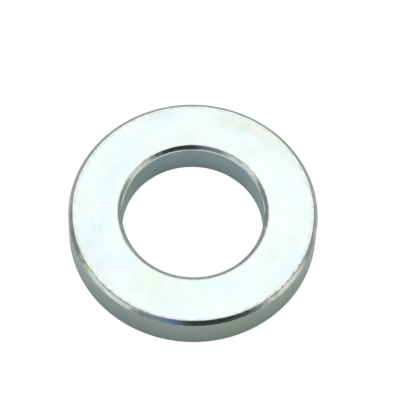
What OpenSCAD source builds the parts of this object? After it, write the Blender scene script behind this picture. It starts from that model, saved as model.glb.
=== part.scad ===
// Flat washer: one steel ring with a plain bore for a 16 mm bolt.
// Both edges of its upper face are chamfered, and the edges of its underside are only broken, more at the bore.
// Millimetres, +Z up. The origin is the centre of the flat underside.

/* [Ring] */
// Outside diameter
outer_d = 29.8; // [28:0.1:32]
// Diameter of the bore
bore_d = 17; // [16.2:0.1:19]
// Thickness, from the underside to the upper face
thickness = 4.85; // [3:0.05:6]

/* [Upper chamfers] */
// Width of the rim chamfer, taken off the upper face
rim_chamfer_w = 0.5; // [0.2:0.02:1.2]
// Depth of the rim chamfer, taken off the outer wall
rim_chamfer_h = 0.42; // [0.2:0.02:1.2]
// Width of the bore chamfer, taken off the upper face
bore_chamfer_w = 0.56; // [0.2:0.02:1.2]
// Depth of the bore chamfer, taken off the bore wall
bore_chamfer_h = 0.34; // [0.2:0.02:1.2]

/* [Underside] */
// Size of the 45 degree edge break around the rim
rim_break = 0.05; // [0.05:0.05:0.3]
// Size of the 45 degree edge break around the bore
bore_break = 0.25; // [0.05:0.05:0.3]

/* [Hidden] */
outer_r = outer_d / 2;
bore_r = bore_d / 2;
// How far the bore's cutting shape runs past each face
overcut = 1;
// Sideways growth of the bore chamfer for each millimetre of height
bore_chamfer_slope = bore_chamfer_w / bore_chamfer_h;
$fn = 180;

// A plain disc with its upper rim chamfered and its lower rim broken
module disc_blank() {
    rotate_extrude()
        polygon([
            [0, 0],
            [outer_r - rim_break, 0],
            [outer_r, rim_break],
            [outer_r, thickness - rim_chamfer_h],
            [outer_r - rim_chamfer_w, thickness],
            [0, thickness]
        ]);
}

// The space of the bore, widened by its upper chamfer and its lower edge break
module bore_space() {
    rotate_extrude()
        polygon([
            [0, -overcut],
            [bore_r + bore_break + overcut, -overcut],
            [bore_r, bore_break],
            [bore_r, thickness - bore_chamfer_h],
            [bore_r + bore_chamfer_w + overcut * bore_chamfer_slope, thickness + overcut],
            [0, thickness + overcut]
        ]);
}

module washer() {
    color("gainsboro")
        difference() {
            disc_blank();
            bore_space();
        }
}

washer();
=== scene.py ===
"""Looks of a bright zinc-plated flat washer: a steel ring with both edges of its upper face chamfered."""
import math

import bpy
import numpy as np
from mathutils import Matrix, Vector, noise


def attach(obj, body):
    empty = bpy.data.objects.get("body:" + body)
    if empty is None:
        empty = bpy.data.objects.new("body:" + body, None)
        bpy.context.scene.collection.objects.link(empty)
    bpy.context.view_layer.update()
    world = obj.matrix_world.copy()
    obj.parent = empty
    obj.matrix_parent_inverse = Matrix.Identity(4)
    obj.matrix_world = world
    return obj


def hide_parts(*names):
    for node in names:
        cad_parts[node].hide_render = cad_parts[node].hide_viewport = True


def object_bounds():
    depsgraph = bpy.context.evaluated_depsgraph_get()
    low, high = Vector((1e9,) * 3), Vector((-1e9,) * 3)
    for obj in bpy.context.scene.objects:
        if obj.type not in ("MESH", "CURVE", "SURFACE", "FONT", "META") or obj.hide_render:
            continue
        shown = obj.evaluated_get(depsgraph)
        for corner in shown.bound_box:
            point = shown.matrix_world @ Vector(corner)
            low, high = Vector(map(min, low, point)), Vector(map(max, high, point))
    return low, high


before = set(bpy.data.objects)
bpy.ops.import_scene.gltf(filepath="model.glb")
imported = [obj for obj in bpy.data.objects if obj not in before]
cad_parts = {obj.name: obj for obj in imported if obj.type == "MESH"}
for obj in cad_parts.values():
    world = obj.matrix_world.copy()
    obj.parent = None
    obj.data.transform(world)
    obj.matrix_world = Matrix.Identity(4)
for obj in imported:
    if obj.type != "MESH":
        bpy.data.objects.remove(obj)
cad_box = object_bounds()

MM = 0.001
# Heights closer than this are one height
NEARLY = 0.01 * MM
NODE = "washer"
BODY = "root"

# ---------------------------------------------------------------- the ring's section

# Rounding of the section's corners: the rim chamfer's upper and lower one, the bore chamfer's upper one,
# both corners of the land, and those of the underside
RIM_FACE_R = 0.75 * MM
RIM_EDGE_R = 0.16 * MM
BORE_FACE_R = 0.30 * MM
LAND_R = 0.05 * MM
UNDERSIDE_R = 0.04 * MM
# Chords in each round
WIDE_ROUND_STEPS = 8
NARROW_ROUND_STEPS = 2
# The burnished land that replaces the corner between the bore's chamfer and its wall: its reach along each
LAND_ON_CHAMFER = 0.15 * MM
LAND_ON_BORE = 0.06 * MM
# Chords along a side of the section: this many, and one more for each stretch of that length
SIDE_STEPS_MIN = 3
SIDE_STEP_LENGTH = 0.7 * MM
# Quads round the ring
STEPS_AROUND = 1080


def section_corners():
    """The corners of the CAD ring's section as (radius, height), anticlockwise."""
    found = {
        (round(math.hypot(v.co.x, v.co.y) / MM, 2), round(v.co.z / MM, 2))
        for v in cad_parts[NODE].data.vertices
    }
    low = Vector(np.min(list(found), axis=0))
    high = Vector(np.max(list(found), axis=0))
    middle = (low + high) / 2
    ordered = sorted(found, key=lambda c: math.atan2(c[1] - middle.y, c[0] - middle.x))
    return [Vector(c) * MM for c in ordered]


def with_land(corners):
    """The corners with the one between the bore's chamfer and its wall cut off by the land."""
    top = max(c.y for c in corners)
    at = min((i for i, c in enumerate(corners) if top / 2 < c.y < top - NEARLY), key=lambda i: corners[i].x)
    corner = corners[at]
    on_chamfer = corner + (corners[at - 1] - corner).normalized() * LAND_ON_CHAMFER
    on_bore = corner + (corners[(at + 1) % len(corners)] - corner).normalized() * LAND_ON_BORE
    return corners[:at] + [on_chamfer, on_bore] + corners[at + 1:]


def corner_rounding(corners, corner):
    """The radius of a corner's round, and the number of chords in it."""
    top = max(c.y for c in corners)
    middle = sum(c.x for c in corners) / len(corners)
    if corner.y < top / 2:
        return UNDERSIDE_R, NARROW_ROUND_STEPS
    if top - corner.y < NEARLY:
        return (RIM_FACE_R if corner.x > middle else BORE_FACE_R), WIDE_ROUND_STEPS
    if corner.x > middle:
        return RIM_EDGE_R, WIDE_ROUND_STEPS
    return LAND_R, NARROW_ROUND_STEPS


def corner_round(corners, i):
    """The points of the arc that rounds corner i, from the side before it to the side after it."""
    corner = corners[i]
    back = (corners[i - 1] - corner).normalized()
    ahead = (corners[(i + 1) % len(corners)] - corner).normalized()
    radius, steps = corner_rounding(corners, corner)
    turn = math.pi - back.angle(ahead)
    centre = corner + (back + ahead).normalized() * radius / math.cos(turn / 2)
    # The outward normal of the side that arrives at the corner
    start = math.atan2(back.x, -back.y)
    angles = [start + turn * k / steps for k in range(steps + 1)]
    return [centre + radius * Vector((math.cos(a), math.sin(a))) for a in angles]


def ring_section():
    """The section's outline with its corners rounded and its sides divided, closest near the corners."""
    corners = with_land(section_corners())
    arcs = [corner_round(corners, i) for i in range(len(corners))]
    outline = []
    for i, arc in enumerate(arcs):
        outline += arc
        start = arc[-1]
        end = arcs[(i + 1) % len(arcs)][0]
        steps = SIDE_STEPS_MIN + int((end - start).length / SIDE_STEP_LENGTH)
        for k in range(1, steps):
            share = (1 - math.cos(math.pi * k / steps)) / 2
            outline.append(start.lerp(end, share))
    return corners, outline


# ---------------------------------------------------------------- the ring's mesh

# Wandering of each chamfer's upper edge: how far it strays, how many waves go round the ring, and a gain,
# which falls with the root of a wave's place in that list
WANDER = {"rim": 0.030 * MM, "bore": 0.016 * MM}
WANDER_WAVES = (5, 14, 37, 130)
WANDER_GAIN = 1.6
# How far the wandering reaches into the upper face, and how far from the edge it may move anything
WANDER_FADE = 0.5 * MM
WANDER_LIMIT = 1.0 * MM

# Dents in the chamfers' upper edges: angle round the ring, edge, width and depth in millimetres
NICKS = (
    (10, "rim", 0.9, 0.03),
    (44, "rim", 0.7, 0.03),
    (69, "rim", 0.9, 0.04),
    (163, "rim", 0.7, 0.02),
    (208, "rim", 0.8, 0.03),
    (231, "rim", 0.7, 0.03),
    (313, "rim", 0.8, 0.04),
    (326, "rim", 0.6, 0.03),
    (52, "bore", 0.6, 0.02),
    (349, "bore", 0.6, 0.02),
)


def wander(angles, seed):
    """A smooth closed wave round the ring, from about -1 to 1."""
    total = np.zeros(len(angles))
    for octave, waves in enumerate(WANDER_WAVES):
        reach = waves / (2 * math.pi)
        values = [
            noise.noise(Vector((reach * math.cos(a), reach * math.sin(a), seed + 10 * octave)))
            for a in angles
        ]
        total += np.array(values) * WANDER_GAIN / math.sqrt(octave + 1)
    return total


def chamfer_corners(corners):
    """The upper and lower corner of each chamfer, as {edge: (upper, lower)}."""
    top = max(c.y for c in corners)
    uppers = [c for c in corners if top - c.y < NEARLY]
    others = [c for c in corners if c.y > top / 2 and c not in uppers]
    return {
        "rim": (max(uppers, key=lambda c: c.x), max(others, key=lambda c: c.x)),
        "bore": (min(uppers, key=lambda c: c.x), min(others, key=lambda c: c.x)),
    }


def ring_points():
    """The ring's grid of vertices, [section point, step round, xyz], with its chamfers' small faults."""
    corners, outline = ring_section()
    edges = chamfer_corners(corners)
    angles = np.arange(STEPS_AROUND) * 2 * math.pi / STEPS_AROUND
    section = np.array([tuple(p) for p in outline])
    radius = np.repeat(section[:, :1], STEPS_AROUND, axis=1)
    height = np.repeat(section[:, 1:], STEPS_AROUND, axis=1)
    for seed, (edge, (upper, lower)) in enumerate(edges.items()):
        # 1 at the chamfer's upper edge, falling to 0 at its lower edge and across the face
        rise = np.clip((section[:, 1] - lower.y) / (upper.y - lower.y), 0, 1)
        away = np.abs(section[:, 0] - upper.x)
        fade = np.clip(1 - away / WANDER_FADE, 0, 1)
        near = rise * np.where(section[:, 1] > upper.y - NEARLY, fade, 1)
        near[away > WANDER_LIMIT] = 0
        radius += near[:, None] * wander(angles, seed)[None, :] * WANDER[edge]
    for degrees, edge, width, depth in NICKS:
        upper, lower = edges[edge]
        inward = (Vector((section[:, 0].mean(), 0)) - upper).normalized()
        along = (angles - math.radians(degrees) + math.pi) % (2 * math.pi) - math.pi
        spread = (along * upper.x / (width * MM / 2)) ** 2
        reach = np.hypot(section[:, 0] - upper.x, section[:, 1] - upper.y) / (width * MM / 2)
        dent = np.exp(-(spread[None, :] + reach[:, None] ** 2)) * depth * MM
        radius += dent * inward.x
        height += dent * inward.y
    return np.stack([radius * np.cos(angles), radius * np.sin(angles), height], axis=2), section


# The zones of the section, each with its own material. The underside counts as face
FACE, CHAMFER, LAND, OUTER_WALL, BORE_WALL = range(5)
# The least height of a side's outward unit normal in a face, in each chamfer and in the land
FACE_LIFT = 0.98
RIM_CHAMFER_LIFT = 0.12
BORE_CHAMFER_LIFT = 0.78
LAND_LIFT = 0.12


def zone_of(start, end, middle):
    """The material zone of the side from start to end, by its place and the height of its outward normal."""
    lift = (start[0] - end[0]) / math.hypot(end[0] - start[0], end[1] - start[1])
    outside = start[0] > middle
    if abs(lift) > FACE_LIFT:
        return FACE
    if lift > (RIM_CHAMFER_LIFT if outside else BORE_CHAMFER_LIFT):
        return CHAMFER
    if outside:
        return OUTER_WALL
    return LAND if lift > LAND_LIFT else BORE_WALL


def make_ring(materials):
    """The washer as one closed, smooth mesh."""
    grid, section = ring_points()
    middle = (section[:, 0].min() + section[:, 0].max()) / 2
    rows, columns = grid.shape[:2]
    faces = []
    zones = []
    for i in range(rows):
        after = (i + 1) % rows
        row = i * columns
        next_row = after * columns
        zone = zone_of(section[i], section[after], middle)
        for j in range(columns):
            beside = (j + 1) % columns
            faces.append((row + j, row + beside, next_row + beside, next_row + j))
            zones.append(zone)
    mesh = bpy.data.meshes.new("washer_ring")
    mesh.from_pydata(grid.reshape(-1, 3).tolist(), [], faces)
    mesh.polygons.foreach_set("material_index", zones)
    mesh.polygons.foreach_set("use_smooth", [True] * len(faces))
    for material in materials:
        mesh.materials.append(material)
    mesh.update()
    ring = bpy.data.objects.new("washer_ring", mesh)
    bpy.context.scene.collection.objects.link(ring)
    return ring


# ---------------------------------------------------------------- shader helpers


# Most of a noise lies between these values
NOISE_LOW = 0.3
NOISE_HIGH = 0.7


class Tree:
    """A node tree with short ways to add what the materials need."""

    def __init__(self, tree):
        self.tree = tree
        tree.nodes.clear()

    def add(self, kind, inputs=(), **settings):
        """A new node, with its settings, and its inputs given as {name or index: value or socket}."""
        node = self.tree.nodes.new(kind)
        for name, value in settings.items():
            setattr(node, name, value)
        for name, value in dict(inputs).items():
            if isinstance(value, bpy.types.NodeSocket):
                self.tree.links.new(value, node.inputs[name])
            else:
                node.inputs[name].default_value = value
        return node

    def math(self, operation, a, b=0.0):
        return self.add("ShaderNodeMath", {0: a, 1: b}, operation=operation).outputs[0]

    def step(self, value, low, high, to_low=0.0, to_high=1.0):
        """A smooth step from to_low to to_high as value goes from low to high."""
        ends = {"Value": value, "From Min": low, "From Max": high, "To Min": to_low, "To Max": to_high}
        return self.add("ShaderNodeMapRange", ends, interpolation_type="SMOOTHSTEP").outputs["Result"]

    def mix(self, share, a, b, blend_type="MIX"):
        """Colour a turned into colour b by share."""
        node = self.add("ShaderNodeMix", {0: share, 6: a, 7: b}, data_type="RGBA", blend_type=blend_type)
        return node.outputs[2]

    def noise(self, vector, scale, detail, roughness=0.5):
        inputs = {"Vector": vector, "Scale": scale, "Detail": detail, "Roughness": roughness}
        return self.add("ShaderNodeTexNoise", inputs).outputs["Fac"]

    def spread(self, colour, low, high):
        """A noise colour turned into factors from low to high, channel by channel."""
        ends = {6: colour, 7: (NOISE_LOW,) * 3, 8: (NOISE_HIGH,) * 3, 9: low, 10: high}
        return self.add("ShaderNodeMapRange", ends, data_type="FLOAT_VECTOR").outputs["Vector"]

    def window(self, value, low, high, soft):
        """1 between low and high, falling to 0 over soft on both sides."""
        rise = self.step(value, low - soft, low + soft)
        fall = self.step(value, high - soft, high + soft, 1.0, 0.0)
        return self.math("MULTIPLY", rise, fall)


def rgb(r, g, b):
    return (r, g, b, 1.0)


# ---------------------------------------------------------------- zinc plate

# Tints of the plate's thin film, as factors on its colour, and three factors of painted shade and painted
# reflection, each marked below
BLUE = rgb(0.930, 0.980, 1.000)
GREY = rgb(0.960, 0.955, 0.955)
YELLOW = rgb(0.970, 0.975, 0.925)
OLIVE = rgb(0.940, 0.940, 0.885)
WHITE = rgb(1.045, 1.010, 1.004)
GREENISH = rgb(1.000, 1.010, 0.910)
BLUISH = rgb(0.970, 0.995, 1.040)
PALE = rgb(1.090, 1.130, 1.150)
ROSY = rgb(1.080, 0.990, 0.990)
RUSTY = rgb(1.040, 0.980, 0.910)
# Painted blue reflection, deepening the blue that the rim chamfer mirrors in front
PAINTED_BLUE_REFLECTION = rgb(0.800, 0.950, 1.100)
# Painted shade, darkening the outer wall on its right
PAINTED_SHADE = rgb(0.900, 0.910, 0.900)
SAGE = rgb(0.930, 0.980, 0.965)
MINT = rgb(1.000, 1.060, 1.050)
# Painted dark reflection, for the dark line where the rim chamfer's rounded edge mirrors a darker part of the
# room
PAINTED_DARK_REFLECTION = rgb(0.500, 0.460, 0.420)

# The radii of the two walls, the height of the upper face and that of the walls' middle, in millimetres
OUTER_R = cad_box[1][0] / MM
BORE_R = min(c.x for c in section_corners()) / MM
FACE_HEIGHT = cad_box[1][2] / MM
WALL_HEIGHT = FACE_HEIGHT / 2


def at_radius(radius, films):
    """Films without a distance from the axis, all put at one radius."""
    return tuple((degrees, radius, *rest) for degrees, *rest in films)


# Cloudy films on the upper face: angle round the ring, distance from its axis, half width, half length, tint
FACE_FILMS = (
    (71, 13.1, 1.6, 3.6, OLIVE),
    (62, 13.1, 0.9, 1.6, GREY),
    (50, 13.4, 1.3, 3.2, OLIVE),
    (34, 13.6, 0.9, 3.4, YELLOW),
    (87, 10.0, 0.9, 2.2, YELLOW),
    (104, 9.8, 1.2, 3.0, YELLOW),
    (124, 9.7, 1.0, 2.4, YELLOW),
    (54, 10.6, 1.0, 1.8, YELLOW),
    (243, 10.2, 1.6, 2.8, YELLOW),
    (254, 11.3, 1.8, 2.6, YELLOW),
    (238, 12.2, 0.9, 1.4, YELLOW),
    (177, 13.2, 1.3, 1.5, YELLOW),
    (331, 11.0, 1.0, 1.6, YELLOW),
    (344, 12.3, 1.0, 1.3, YELLOW),
    (197, 12.2, 2.2, 3.2, BLUE),
    (190, 10.6, 1.6, 2.2, BLUE),
    (225, 10.4, 1.3, 2.2, BLUE),
    (213, 12.0, 1.2, 2.0, BLUE),
    (166, 10.8, 1.6, 2.8, BLUE),
    (148, 10.2, 1.3, 2.4, BLUE),
    (137, 11.9, 1.6, 3.2, BLUE),
    (107, 13.2, 1.3, 3.0, BLUE),
    (324, 13.3, 1.3, 3.2, BLUE),
    (290, 10.2, 1.0, 2.4, BLUE),
    (206, 13.5, 1.2, 3.4, GREY),
    (222, 13.8, 0.9, 2.6, GREY),
    (110, 13.7, 0.9, 3.0, GREY),
    (352, 10.8, 2.2, 3.0, WHITE),
    (18, 10.6, 1.9, 3.6, WHITE),
    (40, 10.1, 1.4, 2.8, WHITE),
    (286, 12.9, 1.5, 3.2, WHITE),
    (336, 10.0, 0.8, 1.6, WHITE),
)
# The same on the chamfers, and on the walls without the distance
OUTER_FILMS = at_radius(OUTER_R, (
    (203, 3.0, 3.2, GREENISH),
    (292, 3.0, 3.4, GREENISH),
    (336, 4.0, 7.0, GREENISH),
    (244, 3.0, 4.0, BLUISH),
    (222, 2.0, 2.4, BLUISH),
    (341, 3.0, 2.4, GREENISH),
    (246, 1.8, 1.4, ROSY),
    (264, 1.6, 1.8, ROSY),
    (279, 2.0, 1.8, ROSY),
    (297, 2.0, 2.4, ROSY),
    (346, 3.0, 2.0, ROSY),
    # These two are painted shade, darkening the outer wall on its right
    (350, 6.0, 4.5, PAINTED_SHADE),
    (328, 6.0, 5.0, PAINTED_SHADE),
))
CHAMFER_FILMS = (
    (214, 14.7, 1.0, 1.0, RUSTY),
    (312, 14.7, 1.0, 1.2, RUSTY),
    # Painted blue reflection, left of the front of the rim chamfer
    (262, 14.7, 1.2, 1.6, PAINTED_BLUE_REFLECTION),
    (226, 14.7, 1.0, 2.4, MINT),
    (150, 8.8, 1.4, 2.6, SAGE),
    (128, 8.8, 1.4, 2.6, SAGE),
)
BORE_FILMS = at_radius(BORE_R, (
    (60, 4.0, 4.2, PALE),
    (30, 4.0, 2.4, PALE),
    (128, 2.0, 2.4, BLUISH),
    (156, 2.0, 2.0, GREENISH),
))
# Painted dark reflection, spots along the rim chamfer's upper edge in front: distance from the axis, half
# width, half length, angles
SPOT_RADIUS = 14.37
SPOT_HALF_WIDTH = 0.14
SPOT_HALF_LENGTH = 0.30
SPOT_ANGLES = (216, 220, 225, 229, 232, 236, 309, 312, 315, 319, 323, 328, 333)
EDGE_PAINTED_REFLECTIONS = tuple(
    (degrees, SPOT_RADIUS, SPOT_HALF_WIDTH, SPOT_HALF_LENGTH, PAINTED_DARK_REFLECTION)
    for degrees in SPOT_ANGLES
)
# How much of the tinting each channel takes
TINT_REACH = (1.0, 0.4, 0.8)
# A film fades out between these multiples of its half size, and noise tears its edge by this much
FILM_FADE = (0.1, 1.2)
FILM_RAGGEDNESS = 1.5
# Stain along the chamfers' upper edges: its factor on the colour, and its greatest strength
STAIN = rgb(0.62, 0.57, 0.52)
STAIN_SHARE = 0.42
# In millimetres: how far outside the edge it is centred, how far it reaches, and how far its middle strays
STAIN_OUTWARD = {"rim": -0.17, "bore": 0.04}
STAIN_REACH = {"rim": 0.26, "bore": 0.15}
STAIN_STRAY = 0.3
# The noise that breaks it: its fineness, and the values between which the stain appears
STAIN_BREAK_SCALE = 1.6
STAIN_BREAK = (0.36, 0.60)
# The fineness of the noise that moves it
STAIN_STRAY_SCALE = 2.4
# Noises of the plate, in cells per millimetre: broad patches, and a fine mottle, with its roughness
PATCH_SCALE = 0.45
MOTTLE_SCALE = 2.0
MOTTLE_ROUGHNESS = 0.6
# Marks of the turning: their fineness across, per millimetre, and along, for each radian round the ring
WISPS = (1.8, 5.0)
LINES = (5.0, 12.0)
TURNED_ROUGHNESS = 0.6
# Octaves of the noises, and of the one that moves the stain
NOISE_DETAIL = 3.0
STRAY_DETAIL = 2.0
# The values of the streaks between which the grain goes from dark to light
GRAIN_ENDS = (0.36, 0.64)
# How far the roughness varies, as a share of itself
ROUGHNESS_SPREAD = 0.1


class Surface:
    """Where a material is on the ring: places in millimetres, and the heading from the axis."""

    def __init__(self, t):
        self.t = t
        place = t.add("ShaderNodeTexCoord").outputs["Object"]
        self.place = t.add("ShaderNodeVectorMath", {0: place, "Scale": 1 / MM}, operation="SCALE").outputs[0]
        x, y, z = t.add("ShaderNodeSeparateXYZ", {0: self.place}).outputs
        flat = t.add("ShaderNodeCombineXYZ", {0: x, 1: y}).outputs[0]
        self.radius = t.add("ShaderNodeVectorMath", {0: flat}, operation="LENGTH").outputs["Value"]
        heading = t.add("ShaderNodeVectorMath", {0: flat}, operation="NORMALIZE").outputs[0]
        self.hx, self.hy, _ = t.add("ShaderNodeSeparateXYZ", {0: heading}).outputs
        # Changes across the marks of the turning, on the faces as on the walls
        self.across = t.math("ADD", self.radius, z)

    def turned(self, across, along):
        """Noise drawn out round the ring, as a lathe leaves it, by its fineness across and along."""
        t = self.t
        vector = t.add("ShaderNodeCombineXYZ", {
            0: t.math("MULTIPLY", self.across, across),
            1: t.math("MULTIPLY", self.hx, along),
            2: t.math("MULTIPLY", self.hy, along),
        }).outputs[0]
        inputs = {"Vector": vector, "Scale": 1.0, "Detail": NOISE_DETAIL, "Roughness": TURNED_ROUGHNESS}
        return t.add("ShaderNodeTexNoise", inputs)


def film_tints(t, colour, surface, torn, films, height):
    """Colour multiplied by cloudy films centred at a height, whose edges the torn noise makes ragged. Some of
    those listed are painted shade and painted reflections rather than films.
    """
    ragged = t.math("MULTIPLY", t.math("SUBTRACT", torn, 0.5), FILM_RAGGEDNESS)
    for degrees, distance, half_width, half_length, tint in films:
        angle = math.radians(degrees)
        local = t.add("ShaderNodeMapping", {
            "Vector": surface.place,
            "Location": (distance * math.cos(angle), distance * math.sin(angle), height),
            "Rotation": (0, 0, angle),
            "Scale": (half_width, half_length, half_width),
        }, vector_type="TEXTURE").outputs[0]
        off = t.add("ShaderNodeVectorMath", {0: local}, operation="LENGTH").outputs["Value"]
        share = t.step(t.math("ADD", off, ragged), *FILM_FADE, 1.0, 0.0)
        colour = t.mix(share, colour, tint, "MULTIPLY")
    return colour


def edge_stain(t, colour, surface):
    """Colour browned in broken lines along the upper edges of both chamfers."""
    broken = t.step(t.noise(surface.place, STAIN_BREAK_SCALE, NOISE_DETAIL), *STAIN_BREAK, 0.0, STAIN_SHARE)
    straying = t.noise(surface.place, STAIN_STRAY_SCALE, STRAY_DETAIL)
    stray = t.math("MULTIPLY", t.math("SUBTRACT", straying, 0.5), STAIN_STRAY)
    for edge, (upper, _) in chamfer_corners(section_corners()).items():
        middle = upper.x / MM + STAIN_OUTWARD[edge]
        off = t.math("ABSOLUTE", t.math("SUBTRACT", t.math("ADD", surface.radius, stray), middle))
        share = t.math("MULTIPLY", broken, t.step(off, 0, STAIN_REACH[edge], 1.0, 0.0))
        colour = t.mix(share, colour, STAIN, "MULTIPLY")
    return colour


def plate(name, base, roughness, tinting, grain, relief, films=(), height=FACE_HEIGHT, stained=False):
    """Bright zinc plate over turned steel. Tinting and grain are how far its tint and its shade vary.

    Relief is the depth of its marks in millimetres, and height is where its films are centred.
    """
    material = bpy.data.materials.new(name)
    material.use_nodes = True
    t = Tree(material.node_tree)
    surface = Surface(t)
    wisps = surface.turned(*WISPS)
    patch_inputs = {"Vector": surface.place, "Scale": PATCH_SCALE, "Detail": NOISE_DETAIL}
    patches = t.add("ShaderNodeTexNoise", patch_inputs)
    mottle = t.noise(surface.place, MOTTLE_SCALE, NOISE_DETAIL, MOTTLE_ROUGHNESS)
    lines = surface.turned(*LINES).outputs["Fac"]
    colour = t.add("ShaderNodeRGB").outputs[0]
    colour.default_value = base
    torn = t.mix(0.5, mottle, patches.outputs["Fac"])
    colour = film_tints(t, colour, surface, torn, films, height)
    for noisy in (wisps, patches):
        low = tuple(1.0 - tinting * k for k in TINT_REACH)
        high = tuple(1.0 + tinting * k for k in TINT_REACH)
        colour = t.mix(1.0, colour, t.spread(noisy.outputs["Color"], low, high), "MULTIPLY")
    if stained:
        colour = edge_stain(t, colour, surface)
    streaks = t.mix(0.5, mottle, lines)
    shade = t.step(streaks, *GRAIN_ENDS, 1.0 - grain, 1.0 + grain)
    grey = t.add("ShaderNodeCombineColor", {0: shade, 1: shade, 2: shade}).outputs[0]
    colour = t.mix(1.0, colour, grey, "MULTIPLY")
    smooth_end = (1 - ROUGHNESS_SPREAD) * roughness
    rough_end = (1 + ROUGHNESS_SPREAD) * roughness
    rough = t.step(mottle, NOISE_LOW, NOISE_HIGH, smooth_end, rough_end)
    bump = t.add("ShaderNodeBump", {"Height": streaks, "Distance": relief * MM, "Strength": 1.0})
    shader = t.add("ShaderNodeBsdfPrincipled", {
        "Base Color": colour,
        "Metallic": 1.0,
        "Roughness": rough,
        "Normal": bump.outputs["Normal"],
    })
    t.add("ShaderNodeOutputMaterial", {"Surface": shader.outputs[0]})
    return material


def face_plate():
    return plate(
        "zinc_upper_face", rgb(0.803, 0.886, 0.876),
        roughness=0.28, tinting=0.030, grain=0.016, relief=0.003,
        films=FACE_FILMS + EDGE_PAINTED_REFLECTIONS, stained=True,
    )


def chamfer_plate():
    return plate(
        "zinc_chamfer", rgb(0.80, 0.84, 0.81),
        roughness=0.18, tinting=0.03, grain=0.08, relief=0.0007,
        films=CHAMFER_FILMS + EDGE_PAINTED_REFLECTIONS, stained=True,
    )


def land_plate():
    return plate("zinc_land", rgb(0.91, 0.97, 0.98), roughness=0.12, tinting=0.02, grain=0.03, relief=0.001)


def wall_plate():
    # Its colour, darker and more teal than the face's, is partly the plate's own tint and partly painted
    # shade
    return plate(
        "zinc_wall", rgb(0.74, 0.85, 0.82),
        roughness=0.26, tinting=0.035, grain=0.010, relief=0.0005,
        films=OUTER_FILMS, height=WALL_HEIGHT,
    )


def bore_plate():
    return plate(
        # Its colour, darker and more teal than the face's, is partly the plate's own tint and partly painted
        # shade
        "zinc_bore", rgb(0.74, 0.86, 0.84),
        roughness=0.26, tinting=0.035, grain=0.010, relief=0.0005,
        films=BORE_FILMS, height=WALL_HEIGHT,
    )


# ---------------------------------------------------------------- studio

# Half the width of the floor, and how far it lies below the washer's underside, in metres
FLOOR_HALF = 1.0
FLOOR_GAP = 0.01 * MM
# The floor's glow as the metal mirrors it, close to the wall and further out, and the distances from the wall
# between which it changes: a painted contact shadow, darkest at the wall. These distances and the floor's
# other ones below are in millimetres
FLOOR_GLOW_OUTSIDE = (rgb(0.140, 0.154, 0.153), rgb(0.325, 0.346, 0.339))
FLOOR_GLOW_IN_BORE = (rgb(0.098, 0.118, 0.122), rgb(0.260, 0.302, 0.306))
FLOOR_RISE = (-1.4, 2.6)
# Where the floor in the bore takes over from the one outside, inward from the bore's wall
FLOOR_BORE_FROM = (-1, 0)
# It glows brighter to both sides of the ring, painted light: by what share close to the wall and further out,
# how narrowly
FLOOR_SIDE_GAIN = (1.0, 0.35)
FLOOR_SIDE_POWER = 4
# It fades into the horizon between these distances from the axis
FLOOR_FADE = (16, 60)
# Behind the ring, from the first to the second of these sines of the heading, it turns to a brighter colour,
# painted light, between these distances from the axis, and fades that much further out
FLOOR_BEHIND_HEADING = (0.2, 0.6)
FLOOR_BEHIND = rgb(0.385, 0.400, 0.390)
FLOOR_BEHIND_FROM = (18, 26)
FLOOR_BEHIND_FURTHER = 50

# The studio that the metal mirrors. A round softbox hangs above and behind: its elevation and direction, and
# in degrees its half angle and softness
SOFTBOX_ELEVATION = math.radians(52)
SOFTBOX_AXIS = (0.0, math.cos(SOFTBOX_ELEVATION), math.sin(SOFTBOX_ELEVATION))
SOFTBOX_REACH = 43
SOFTBOX_SOFT = 4
SOFTBOX = rgb(1.14, 1.14, 1.14)
# The room round it, at the horizon, above it, and high up, and the elevations at which each takes over
HORIZON = rgb(0.272, 0.278, 0.268)
ROOM = rgb(0.265, 0.275, 0.265)
ROOM_FROM = (2, 14)
ROOM_HIGH = rgb(0.41, 0.41, 0.395)
ROOM_HIGH_FROM = (28, 50)
# Panels and dark places: name, azimuth from the front (right is positive), elevation and softness in degrees,
# colour
PANELS = (
    ("low light on the left", (-140, -104), (1, 12), 3, rgb(0.47, 0.48, 0.47)),
    ("low light on the right", (104, 140), (1, 12), 3, rgb(0.49, 0.50, 0.48)),
    ("low light before the left panel", (-92, -62), (3, 13), 3, rgb(0.64, 0.66, 0.66)),
    ("low light before the right panel", (62, 92), (3, 13), 3, rgb(0.64, 0.66, 0.66)),
    ("strip light on the left", (-119, -90), (-2, 5), 3, rgb(0.68, 0.70, 0.70)),
    ("strip light on the right", (90, 113), (-2, 5), 3, rgb(0.95, 0.98, 0.97)),
    ("dim corner on the left", (-125, -88), (14, 45), 4, rgb(0.22, 0.235, 0.225)),
    ("left panel", (-87, -40), (22, 50), 5, rgb(0.79, 0.82, 0.80)),
    ("right panel", (62, 92), (16, 46), 7, rgb(0.86, 0.86, 0.80)),
    ("bluish gap beside the camera", (-38, -7), (24, 80), 5, rgb(0.17, 0.23, 0.30)),
    ("dim gap before the left panel", (-43, -30), (20, 44), 4, rgb(0.17, 0.175, 0.18)),
    ("dark room behind the camera", (-7, 50), (24, 80), 8, rgb(0.028, 0.032, 0.033)),
    ("dark room higher up", (-7, 57), (48, 80), 7, rgb(0.028, 0.032, 0.033)),
    ("low light in front", (-62, 62), (14, 26), 3, rgb(0.61, 0.63, 0.63)),
)


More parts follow.
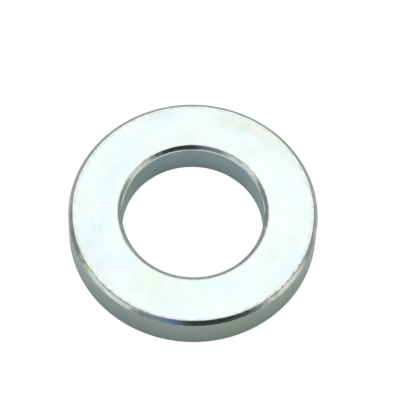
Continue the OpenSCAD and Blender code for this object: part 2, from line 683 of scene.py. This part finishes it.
def floor_painted_glow(t):
    """The floor's glow as the metal mirrors it, with painted shade close to the ring and painted light to its
    sides and behind.
    """
    surface = Surface(t)
    from_wall = t.math("SUBTRACT", surface.radius, OUTER_R)
    from_bore = t.math("SUBTRACT", BORE_R, surface.radius)
    inside = t.step(from_bore, *FLOOR_BORE_FROM)
    near, far = (t.mix(inside, *pair) for pair in zip(FLOOR_GLOW_OUTSIDE, FLOOR_GLOW_IN_BORE))
    reach = t.math("MAXIMUM", from_wall, from_bore)
    light = t.mix(t.step(reach, *FLOOR_RISE), near, far)
    aside = t.math("POWER", t.math("ABSOLUTE", surface.hx), FLOOR_SIDE_POWER)
    side_gain = t.step(reach, *FLOOR_RISE, *FLOOR_SIDE_GAIN)
    gain = t.math("ADD", t.math("MULTIPLY", aside, side_gain), 1.0)
    behind = t.step(surface.hy, *FLOOR_BEHIND_HEADING)
    share = t.math("MULTIPLY", behind, t.step(surface.radius, *FLOOR_BEHIND_FROM))
    light = t.mix(share, light, FLOOR_BEHIND)
    out = t.math("SUBTRACT", surface.radius, t.math("MULTIPLY", behind, FLOOR_BEHIND_FURTHER))
    light = t.mix(t.step(out, *FLOOR_FADE), light, HORIZON)
    return t.add("ShaderNodeVectorMath", {0: light, "Scale": gain}, operation="SCALE").outputs[0]


def make_floor():
    """A plain pale floor, white to the camera; to the metal it glows, with painted shade close to the ring.
    """
    mesh = bpy.data.meshes.new("floor")
    h = FLOOR_HALF
    z = -FLOOR_GAP
    mesh.from_pydata([(-h, -h, z), (h, -h, z), (h, h, z), (-h, h, z)], [], [(0, 1, 2, 3)])
    floor = bpy.data.objects.new("floor", mesh)
    bpy.context.scene.collection.objects.link(floor)
    material = bpy.data.materials.new("pale_floor")
    material.use_nodes = True
    t = Tree(material.node_tree)
    # Painted shade and light: the metal mirrors this glow instead of a lit floor
    shaded = t.add("ShaderNodeEmission", {"Color": floor_painted_glow(t)}).outputs[0]
    white = t.add("ShaderNodeEmission", {"Color": rgb(1, 1, 1), "Strength": 1.0}).outputs[0]
    seen = t.add("ShaderNodeLightPath").outputs["Is Camera Ray"]
    both = t.add("ShaderNodeMixShader", {0: seen, 1: shaded, 2: white}).outputs[0]
    t.add("ShaderNodeOutputMaterial", {"Surface": both})
    mesh.materials.append(material)


def make_studio():
    """Soft light from all round: bright overhead and behind, panels at the sides, dark behind the camera."""
    world = bpy.data.worlds.new("studio")
    bpy.context.scene.world = world
    world.use_nodes = True
    t = Tree(world.node_tree)
    direction = t.add("ShaderNodeTexCoord").outputs["Generated"]
    x, y, z = t.add("ShaderNodeSeparateXYZ", {0: direction}).outputs
    elevation = t.math("DEGREES", t.math("ARCSINE", z))
    azimuth = t.math("DEGREES", t.math("ARCTAN2", x, t.math("MULTIPLY", y, -1.0)))
    light = t.mix(t.step(elevation, *ROOM_FROM), HORIZON, ROOM)
    light = t.mix(t.step(elevation, *ROOM_HIGH_FROM), light, ROOM_HIGH)
    for _, across, up, soft, colour in PANELS:
        share = t.math("MULTIPLY", t.window(azimuth, *across, soft), t.window(elevation, *up, soft))
        light = t.mix(share, light, colour)
    toward = t.add("ShaderNodeVectorMath", {0: direction, 1: SOFTBOX_AXIS}, operation="DOT_PRODUCT")
    off_axis = t.math("DEGREES", t.math("ARCCOSINE", toward.outputs["Value"]))
    inside = t.step(off_axis, SOFTBOX_REACH - SOFTBOX_SOFT, SOFTBOX_REACH + SOFTBOX_SOFT, 1.0, 0.0)
    light = t.mix(inside, light, SOFTBOX)
    studio = t.add("ShaderNodeBackground", {"Color": light}).outputs[0]
    white = t.add("ShaderNodeBackground", {"Color": rgb(1, 1, 1)}).outputs[0]
    seen = t.add("ShaderNodeLightPath").outputs["Is Camera Ray"]
    both = t.add("ShaderNodeMixShader", {0: seen, 1: studio, 2: white}).outputs[0]
    t.add("ShaderNodeOutputWorld", {"Surface": both})


# ---------------------------------------------------------------- camera

CAMERA_ELEVATION = math.radians(62.56)
CAMERA_ROLL = math.radians(2.4)
CAMERA_DISTANCE = 317 * MM
# Focal length and sensor width, in millimetres
CAMERA_LENS = 235.8
CAMERA_SENSOR = 36
# The nearest and the furthest that the camera sees
CAMERA_CLIP = (10 * MM, 10)
# Where the optical axis passes the origin, to the camera's right and up
AIM = (0.910 * MM, 3.617 * MM)


def make_camera():
    """A long lens above the front of the washer, rolled a little."""
    ahead = Vector((0, math.cos(CAMERA_ELEVATION), -math.sin(CAMERA_ELEVATION)))
    level_right = Vector((1, 0, 0))
    level_up = level_right.cross(ahead)
    right = level_right * math.cos(CAMERA_ROLL) + level_up * math.sin(CAMERA_ROLL)
    up = level_up * math.cos(CAMERA_ROLL) - level_right * math.sin(CAMERA_ROLL)
    data = bpy.data.cameras.new("camera")
    data.sensor_width = CAMERA_SENSOR
    data.lens = CAMERA_LENS
    data.clip_start, data.clip_end = CAMERA_CLIP
    camera = bpy.data.objects.new("camera", data)
    turn = Matrix((right, up, -ahead)).transposed().to_4x4()
    camera.matrix_world = Matrix.Translation(right * AIM[0] + up * AIM[1] - ahead * CAMERA_DISTANCE) @ turn
    bpy.context.scene.collection.objects.link(camera)
    bpy.context.scene.camera = camera


# ---------------------------------------------------------------- the scene

make_camera()
make_floor()
make_studio()
bpy.context.scene.view_settings.view_transform = "Standard"

washer = make_ring((face_plate(), chamfer_plate(), land_plate(), wall_plate(), bore_plate()))
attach(washer, BODY)
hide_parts(NODE)
